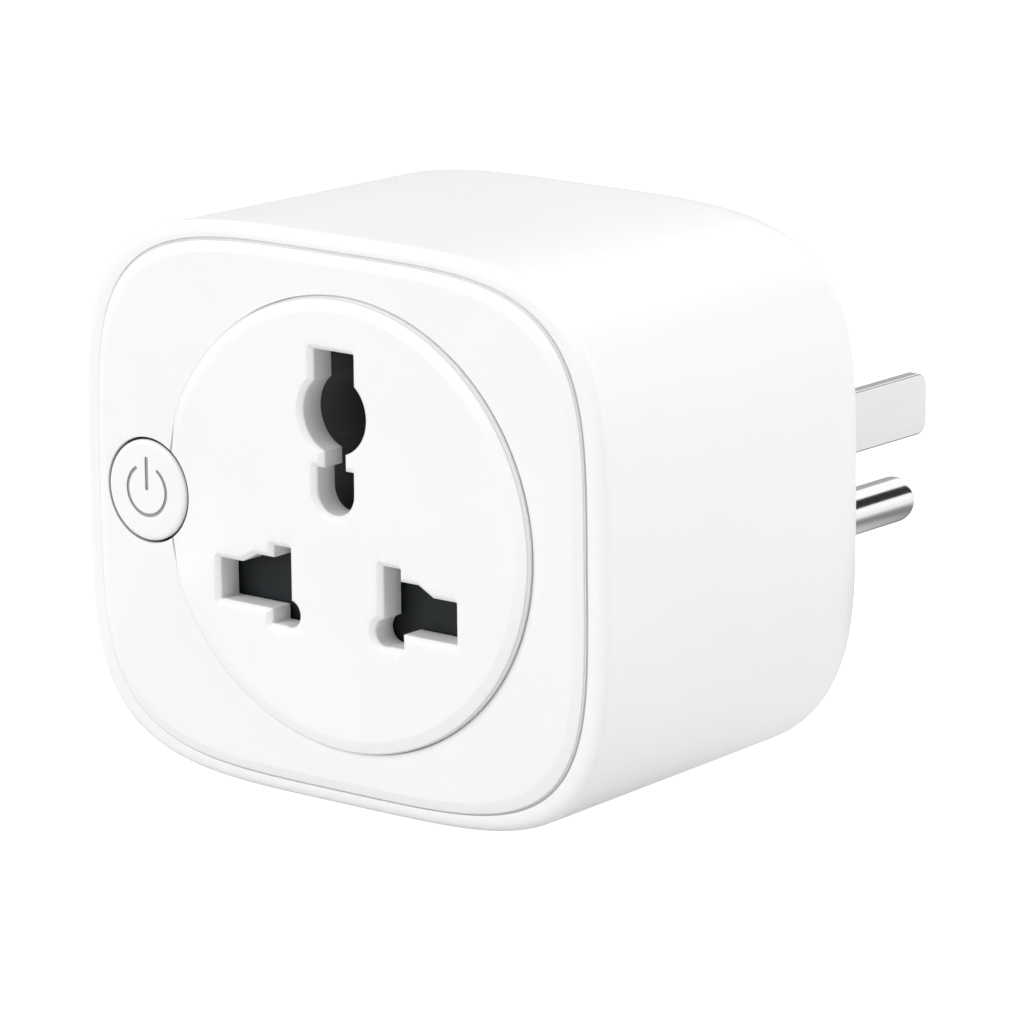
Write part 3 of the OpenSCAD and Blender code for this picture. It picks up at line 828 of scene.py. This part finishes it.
def back_insert():
    sh = Shell()
    pr = rounded_rect(PX - 8.8, PX + 8.8, EZ - 4.5, EZ + 17.1, 4.0)
    a, p = edge_round(sh, pr, D, 0.3, -1, -1, 5, step=0.5, turn=5)
    low = sh.loop(p[-1], 38.5)
    sh.strip(a[-1], low)
    sh.fill([(low, p[-1])], 38.5)
    holes = []
    for x in (PX - 6.35, PX + 6.35):
        q = outline([(x - 0.79, BZ0 - 3.215), (x + 0.79, BZ0 - 3.215), (x + 0.79, BZ0 + 3.215), (x - 0.79, BZ0 + 3.215)])
        b, pb_ = edge_round(sh, q, D, 0.16, -1, 1, 4, step=0.6)
        f = sh.loop(pb_[-1], 44.5)
        sh.strip(b[-1], f)
        sh.fill([(f, pb_[-1])], 44.5)
        holes.append((b[0], pb_[0]))
    sh.fill([(a[0], p[0])] + holes, D, grid(6, 28, -14, 11, 1.2))
    return add_piece("back_insert", sh.mesh("back_insert"), [M["panel"]], "body", ["pin_holder"])


def shutter_plate():
    """The dark plate behind both pole openings, with eased edges and a shallow lead-in."""
    sh = Shell()
    lo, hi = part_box("shutter")
    x0, x1, y0, y1, z0, z1 = [1000 * v for v in (lo.x - O.x, hi.x - O.x, lo.y - O.y, hi.y - O.y, lo.z - O.z, hi.z - O.z)]
    c = (x0 + x1) / 2
    wx = 4.4
    pr = outline([(x0, z0, 0.5), (c - wx, z0, 0.4), (c - wx, z0 + 0.4), (c + wx, z0 + 0.4), (c + wx, z0, 0.4), (x1, z0, 0.5),
                  (x1, z1, 0.5), (c + wx, z1, 0.5), (c + wx, z0 + 2.4, 0.5), (c - wx, z0 + 2.4, 0.5), (c - wx, z1, 0.5), (x0, z1, 0.5)])
    a, p = edge_round(sh, pr, y0, 0.12, 1, -1, 3, step=0.8)
    b, q = edge_round(sh, pr, y1, 0.12, -1, -1, 3, step=0.8)
    sh.strip(a[-1], b[-1])
    sh.fill([(a[0], p[0])], y0, grid(x0, x1, z0, z1, 0.8))
    sh.fill([(b[0], q[0])], y1)
    return add_piece("shutter_slider", sh.mesh("shutter_slider"), [M["dark"]], "shutter_plate", ["shutter"])


housing()
front_panel()
shutter_plate()
socket_disc()
power_key()
blade("live_prong", PX + 6.35, "live_blade")
blade("neutral_prong", PX - 6.35, "neutral_blade")
earth_prong()
back_insert()

# ------------------------------------------- finishes of the carried-over nodes
def board_green():
    """Solder mask with tracks showing through, and the glass weave at a fine scale."""
    m, t, p = node_mat("board_green_mask")
    v = coords(t)
    br = nd(t, "ShaderNodeTexBrick")
    for k, x in (("Scale", 420.0), ("Mortar Size", 0.06), ("Brick Width", 1.9), ("Row Height", 0.55)):
        br.inputs[k].default_value = x
    br.inputs["Color1"].default_value = (0.010, 0.085, 0.038, 1)
    br.inputs["Color2"].default_value = (0.012, 0.10, 0.045, 1)
    br.inputs["Mortar"].default_value = (0.022, 0.16, 0.07, 1)
    t.links.new(coords(t, (1, 0.001, 1)), br.inputs["Vector"])
    t.links.new(br.outputs["Color"], p.inputs["Base Color"])
    t.links.new(remap(t, noise(t, v, 900), 0.26, 0.36), p.inputs["Roughness"])
    b = bump(t, p, br.outputs["Fac"], 0.25, 0.00003)
    bump(t, p, noise(t, v, 3800), 0.05, 0.00002, b)
    return m


def striped(name, c1, c2, axis, freq, rough, metallic=0.0, strength=0.5):
    """Fine ribs or wire turns across one axis."""
    m, t, p = node_mat(name)
    w = nd(t, "ShaderNodeTexWave")
    w.wave_type, w.bands_direction, w.wave_profile = "BANDS", axis, "SIN"
    w.inputs["Scale"].default_value = freq
    w.inputs["Distortion"].default_value = 0.15
    t.links.new(coords(t), w.inputs["Vector"])
    t.links.new(ramp(t, w.outputs["Fac"], [(0.1, c1), (0.8, c2)]), p.inputs["Base Color"])
    t.links.new(remap(t, noise(t, coords(t), 700), rough * 0.85, rough * 1.15), p.inputs["Roughness"])
    bump(t, p, w.outputs["Fac"], strength, 0.0001)
    p.inputs["Metallic"].default_value = metallic
    return m


def sleeve(name, col, band, axis, freq, rough):
    """Printed or shrunk sleeve with a paler band."""
    m, t, p = node_mat(name)
    w = nd(t, "ShaderNodeTexWave")
    w.wave_type, w.bands_direction = "BANDS", axis
    w.inputs["Scale"].default_value = freq
    t.links.new(coords(t), w.inputs["Vector"])
    t.links.new(ramp(t, w.outputs["Fac"], [(0.86, col), (0.9, band)]), p.inputs["Base Color"])
    t.links.new(remap(t, noise(t, coords(t), 500), rough * 0.85, rough * 1.2), p.inputs["Roughness"])
    bump(t, p, noise(t, coords(t), 2500), 0.06, 0.00003)
    p.inputs["Coat Weight"].default_value = 0.3
    return m


M.update({
    "steel": metal("spring_steel", (0.60, 0.60, 0.61), 0.28, line=0.12),
    "brass": metal("contact_brass", (0.78, 0.56, 0.24), 0.26, spread=0.12, line=0.12),
    "board": board_green(),
    "relay": moulded("relay_blue", (0.03, 0.085, 0.26), 0.38, spread=0.10, grain=0.06),
    "copper": striped("copper_winding", (0.16, 0.05, 0.02), (0.72, 0.30, 0.12), "Y", 900, 0.3, 0.7, 0.7),
    "can": metal("shield_can", (0.56, 0.57, 0.58), 0.34, line=0.06, along=(1, 1, 0.05)),
    "ferrite": moulded("ferrite_tan", (0.34, 0.29, 0.17), 0.6, spread=0.16, grain=0.16),
    "cap": sleeve("capacitor_sleeve", (0.018, 0.022, 0.05), (0.42, 0.43, 0.46), "X", 24, 0.32),
    "capy": moulded("capacitor_yellow", (0.72, 0.50, 0.06), 0.34, spread=0.06, grain=0.05),
    "varistor": moulded("varistor_blue", (0.03, 0.12, 0.36), 0.3, spread=0.10, grain=0.05, coat=0.4),
    "fuse": moulded("fuse_tan", (0.52, 0.40, 0.26), 0.5, spread=0.10, grain=0.08),
    "wire": moulded("wire_red", (0.48, 0.025, 0.03), 0.42, spread=0.08, grain=0.05),
    "led": moulded("led_clear", (0.72, 0.80, 0.86), 0.18, spread=0.04, grain=0.02),
    "switch": moulded("switch_black", (0.02, 0.02, 0.022), 0.45, spread=0.15, grain=0.08),
})
FINISH = {
    "steel": ["relay_yoke", "relay_armature", "housing_screws",
              "carrier_screws", "board_screws", "switch_board_screws"],
    "carrier": ["contact_carrier", "carrier_cover"],
    "brass": ["live_contact", "neutral_contact", "earth_contact", "earth_strap", "relay_contact"],
    "board": ["switch_board", "main_board"],
    "relay": ["relay_base", "relay_cover"],
    "copper": ["relay_coil"],
    "can": ["wireless_module"],
    "ferrite": ["transformer"],
    "cap": ["bulk_capacitor"],
    "capy": ["filter_capacitor"],
    "varistor": ["varistor"],
    "fuse": ["fuse"],
    "wire": ["link_wires"],
    "led": ["status_led"],
    "switch": ["tact_switch", "switch_plunger"],
}


def return_spring(name, x, node):
    """A helical spring with a closed turn at each end."""
    sh = Shell()
    cx, cy, R, w, turns, per = OX + x, 2.67, 0.72, 0.15, 9, 26
    z0, z1, dead = OZ - 2.4 + 0.02, OZ + 15.8 - 0.02, 0.40
    step = np.full(turns * per, (z1 - z0 - 2 * dead) / ((turns - 2) * per))
    step[:per] = step[-per:] = dead / per
    zc = np.concatenate([[z0], z0 + np.cumsum(step)])
    loops, phi = [], np.arange(10) * 2 * np.pi / 10
    for k, z in enumerate(zc):
        th = 2 * np.pi * k / per
        rise = step[min(k, len(step) - 1)] * per / (2 * np.pi * R)
        t = np.array([-math.sin(th), math.cos(th), rise])
        t = t / np.linalg.norm(t)
        nrm = np.array([math.cos(th), math.sin(th), 0.0])
        b = np.cross(t, nrm)
        q = np.array([cx, cy, z]) + R * nrm + w * (np.cos(phi)[:, None] * nrm + np.sin(phi)[:, None] * b)
        loops.append(sh.loop(q[:, [0, 2]], q[:, 1]))
    sh.strips(loops)
    for end in (loops[0], loops[-1]):
        sh.f.append(tuple(end))
        sh.m.append(0)
    ob = add_piece(name, sh.mesh(name), [M["steel"]], "body", [node], angle=60, weighted=False)
    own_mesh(ob)


return_spring("return_spring_left", -12.2, "shutter_spring_left")
return_spring("return_spring_right", 12.2, "shutter_spring_right")
for key, names in FINISH.items():
    for n in names:
        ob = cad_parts[n]
        ob.data.materials.clear()
        ob.data.materials.append(M[key])

# -------------------------------------------------------- camera and studio
f_px, az, el, roll = 6570.4, math.radians(39.5882), math.radians(13.5521), math.radians(-0.6114)
tx, ty, tz = -0.7383 * 23, -0.0522 * 23, 27.6386 * 23
back = Vector((math.sin(az) * math.cos(el), -math.cos(az) * math.cos(el), math.sin(el)))
r0 = Vector((math.cos(az), math.sin(az), 0))
u0 = back.cross(r0)
rr = r0 * math.cos(roll) + u0 * math.sin(roll)
uu = u0 * math.cos(roll) - r0 * math.sin(roll)
loc = -tx * rr - ty * uu + tz * back
cam = bpy.data.objects.new("camera", bpy.data.cameras.new("camera"))
scene.collection.objects.link(cam)
cam.data.sensor_width = 36
cam.data.lens = f_px * 36 / 1024
cam.data.clip_start, cam.data.clip_end = 0.05, 20
m = Matrix((rr, uu, back)).transposed().to_4x4()
m.translation = Vector(xyz(loc.x, loc.y, loc.z))
cam.matrix_world = m
scene.camera = cam

world = bpy.data.worlds.new("studio")
world.use_nodes = True
scene.world = world
bg = world.node_tree.nodes["Background"]
bg.inputs["Color"].default_value = (1, 1, 1, 1)
bg.inputs["Strength"].default_value = 0.44
scene.view_settings.view_transform = "Standard"
scene.view_settings.look = "None"

FLOOR_Z = h_lo.z


def stage_plane(name, pts, mat):
    me = bpy.data.meshes.new(name)
    me.from_pydata(pts, [], [(0, 1, 2, 3)])
    me.materials.append(mat)
    ob = bpy.data.objects.new(name, me)
    scene.collection.objects.link(ob)
    return ob


def floor_mat(name, lo, hi, emit):
    m, t, p = node_mat(name)
    t.links.new(ramp(t, noise(t, coords(t), 3, 2), [(0.3, (lo,) * 3), (0.7, (hi,) * 3)]), p.inputs["Base Color"])
    p.inputs["Roughness"].default_value = 0.9
    p.inputs["Specular IOR Level"].default_value = 0.1
    p.inputs["Emission Color"].default_value = (1, 1, 1, 1)
    p.inputs["Emission Strength"].default_value = emit
    return m


def seen_by(ob, camera=False, diffuse=False, glossy=False, shadow=False):
    ob.visible_camera, ob.visible_diffuse, ob.visible_glossy = camera, diffuse, glossy
    ob.visible_transmission, ob.visible_volume_scatter, ob.visible_shadow = glossy, False, shadow


# The pale floor that is seen, and the greyer one that it throws back as light.
S = 4.0
square = lambda z: [(-S, -S, z), (S, -S, z), (S, S, z), (-S, S, z)]
seen_by(stage_plane("floor", square(FLOOR_Z), floor_mat("pale_floor", 0.93, 0.94, 0.62)), camera=True, shadow=True)
seen_by(stage_plane("floor_bounce", square(FLOOR_Z - 0.0004), floor_mat("floor_bounce", 0.70, 0.72, 0.30)), diffuse=True)


def area(name, loc, target, size, power, color=(1, 1, 1)):
    li = bpy.data.lights.new(name, "AREA")
    li.shape, li.size, li.size_y, li.energy, li.color = "RECTANGLE", size[0], size[1], power, color
    ob = bpy.data.objects.new(name, li)
    scene.collection.objects.link(ob)
    ob.location = loc
    ob.rotation_mode = "QUATERNION"
    ob.rotation_quaternion = (Vector(target) - Vector(loc)).to_track_quat("-Z", "Y")
    return ob


mid = (h_lo + h_hi) / 2
area("softbox_top", mid + Vector((0.05, 0.15, 0.9)), mid, (0.9, 0.9), 4.3)
area("softbox_front", mid + Vector((-0.45, -0.90, 0.50)), mid, (0.7, 0.7), 7.5)
area("softbox_right", mid + Vector((0.97, 0.10, 0.22)), mid, (0.7, 0.7), 4.55)


def card_mat(name, stops, centre=None, radius=1.0):
    """A studio card that glows or not; with a centre, in rings round it."""
    m = bpy.data.materials.new(name)
    m.use_nodes = True
    t = m.node_tree
    t.nodes.clear()
    out, em = t.nodes.new("ShaderNodeOutputMaterial"), t.nodes.new("ShaderNodeEmission")
    t.links.new(em.outputs[0], out.inputs[0])
    g = t.nodes.new("ShaderNodeTexGradient")
    g.gradient_type = "SPHERICAL"
    tc, mp = t.nodes.new("ShaderNodeTexCoord"), t.nodes.new("ShaderNodeMapping")
    mp.vector_type = "TEXTURE"
    mp.inputs["Location"].default_value = centre or (0, 0, 0)
    mp.inputs["Scale"].default_value = (radius,) * 3
    t.links.new(tc.outputs["Object"], mp.inputs["Vector"])
    t.links.new(mp.outputs["Vector"], g.inputs["Vector"])
    t.links.new(ramp(t, g.outputs["Fac"], [(p, (c,) * 3) for p, c in stops]), em.inputs["Color"])
    return m


# A plain pale backdrop past the floor's end, a little greyer higher up.
DOME = 3.9
dome_v, dome_f, seg = [], [], 64
for k in range(17):
    e = math.radians(90 * (k / 16) ** 1.5 * 0.99)
    dome_v += [(DOME * math.cos(e) * math.cos(2 * math.pi * i / seg), DOME * math.cos(e) * math.sin(2 * math.pi * i / seg),
                FLOOR_Z - 0.001 + DOME * math.sin(e)) for i in range(seg)]
for k in range(16):
    dome_f += [(k * seg + i, k * seg + (i + 1) % seg, (k + 1) * seg + (i + 1) % seg, (k + 1) * seg + i) for i in range(seg)]
dome_f.append(tuple(range(16 * seg, 17 * seg)))
dome_me = bpy.data.meshes.new("backdrop")
dome_me.from_pydata(dome_v, [], dome_f)
dome_me.materials.append(card_mat("backdrop_pale", [(0.0, 1.0), (0.0575, 1.0), (0.085, 0.90), (0.3, 0.84), (1.0, 0.80)], (0, 0, DOME), 1.5 * DOME))
dome_ob = bpy.data.objects.new("backdrop", dome_me)
scene.collection.objects.link(dome_ob)
seen_by(dome_ob, camera=True)

# What the bright metal mirrors: a pale wall behind with a narrow black flag
# across it, and a floor that darkens a little way off.
px, pz = 0.0, 0.0
wall = stage_plane("card_wall", [(-0.42, 0.90, FLOOR_Z), (1.6, 0.90, FLOOR_Z), (1.6, 0.90, 1.5), (-0.42, 0.90, 1.5)],
                   card_mat("card_wall", [(0.0, 1.12), (1.0, 1.16)], (0, 0.9, 0.4), 1.5))
seen_by(wall, glossy=True)
flag_pts = []
for r, a in ((0.06, 26), (1.3, 26), (1.3, 70), (0.06, 70)):
    flag_pts.append((px + r * math.cos(math.radians(a)), 0.88, pz + r * math.sin(math.radians(a))))
seen_by(stage_plane("card_flag", flag_pts, card_mat("card_flag", [(0.0, 0.002), (1.0, 0.004)])), glossy=True)
root = Vector((0, 0.010, FLOOR_Z))
# ramp positions run from 0 at 0.4 m out to 1 at the middle
seen_by(stage_plane("card_floor", square(FLOOR_Z - 0.0008),
                    card_mat("card_floor", [(0.0, 1.0), (0.72, 1.0), (0.80, 0.60), (0.86, 0.28), (0.90, 0.26), (0.95, 0.75), (1.0, 0.9)], tuple(root), 0.4)), glossy=True)
